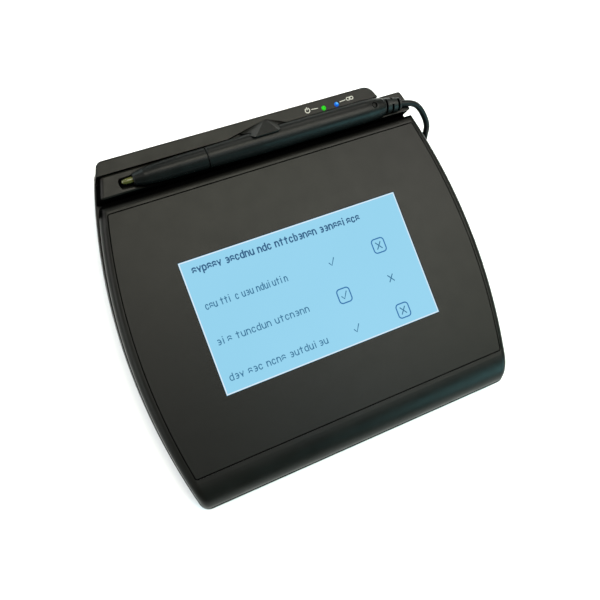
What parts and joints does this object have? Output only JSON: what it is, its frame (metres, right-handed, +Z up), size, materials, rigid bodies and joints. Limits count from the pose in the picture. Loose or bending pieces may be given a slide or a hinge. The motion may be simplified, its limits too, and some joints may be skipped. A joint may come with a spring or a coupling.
{
  "type": "signature pad",
  "caption": "Tabletop signature pad with a lit display window in a bowed dark housing, rear pen tray with clip, and a corded pen on a tether.",
  "frame": {"origin": "centre of the housing's footprint box at the level of the table; the cord's loop stands 2.4 mm out past its right side", "axes": "+Z up, +X to the user's right along the display's long side, +Y from the user to the pen tray"},
  "size_m": [0.1836, 0.162, 0.0342],
  "materials": {
    "cover_plastic": "fine moulded texture, dark warm grey",
    "faceplate_film": "smooth matt film over plastic, dark warm grey",
    "tray_plastic": "fine moulded texture, dark warm grey",
    "base_plastic": "fine moulded texture, dark grey",
    "pen_plastic": "satin moulded plastic, dark grey",
    "nib_plastic": "hard olive-yellow plastic, slightly worn",
    "soft_black": "soft black sleeve and feet",
    "cord_jacket": "glossy black cord jacket",
    "window": "clear protective window, slight haze",
    "display": "lit pale blue liquid crystal picture with dark blue writing",
    "light_guide": "milky light guide",
    "board_green": "solder-masked circuit board",
    "tin_steel": "tinned sheet steel",
    "screw_steel": "zinc-plated screws",
    "black_resin": "moulded chip packages",
    "foil_wrap": "shrink-wrapped battery cell",
    "flat_cable": "flat flexible cable",
    "ferrite": "sintered ferrite",
    "copper": "enamelled copper winding",
    "green_lens": "lit green indicator lens",
    "blue_lens": "lit blue indicator lens",
    "contact_gold": "gold-plated contacts on a tongue"
  },
  "bodies": {
    "housing": {"top_cover": "cover_plastic", "faceplate": "faceplate_film", "display_window": "window", "lcd_glass": "display", "lcd_frame": "tin_steel", "backlight": "light_guide", "lcd_board": "board_green", "digitizer_board": "board_green", "shield_plate": "tin_steel", "display_screws": "screw_steel", "battery_cell": "foil_wrap", "pen_tray": "tray_plastic", "rear_cover": "cover_plastic", "led_lens_green": "green_lens", "led_lens_blue": "blue_lens", "radio_board": "board_green", "radio_can": "tin_steel", "indicator_diodes": "light_guide", "base_cover": "base_plastic", "rubber_feet": "soft_black", "housing_screws": "screw_steel", "main_board": "board_green", "board_chips": "black_resin", "board_screws": "screw_steel", "ribbon_header": "light_guide", "display_ribbon": "flat_cable", "usb_inlet": "tin_steel", "usb_tongue": "contact_gold", "power_switch": "tin_steel", "tether_gland": "soft_black", "tether_cord": "cord_jacket", "tether_coil": "cord_jacket", "tether_tail": "cord_jacket"},
    "pen": {"pen_nose": "pen_plastic", "pen_barrel": "pen_plastic", "pen_set_screw": "screw_steel", "pen_strain_relief": "soft_black", "pen_core": "ferrite", "pen_winding": "copper", "nib_spring": "screw_steel", "pen_board": "board_green"},
    "nib": {"pen_nib": "nib_plastic"},
    "power_knob": {"power_knob": "base_plastic"}
  },
  "joints": [
    {"name": "pen_lift", "type": "slide", "parent": "housing", "child": "pen", "axis": [0, -0.8616, 0.5075], "range_m": [0, 0.03], "deforming": ["tether_cord"]},
    {"name": "nib_press", "type": "slide", "parent": "pen", "child": "nib", "axis": [1, 0, 0], "range_m": [0, 0.0004], "stiffness_N_per_m": 300, "springref_m": -0.0004, "deforming": ["nib_spring"]},
    {"name": "power_slide", "type": "slide", "parent": "housing", "child": "power_knob", "axis": [1, 0, 0], "range_m": [0, 0.003]}
  ]
}
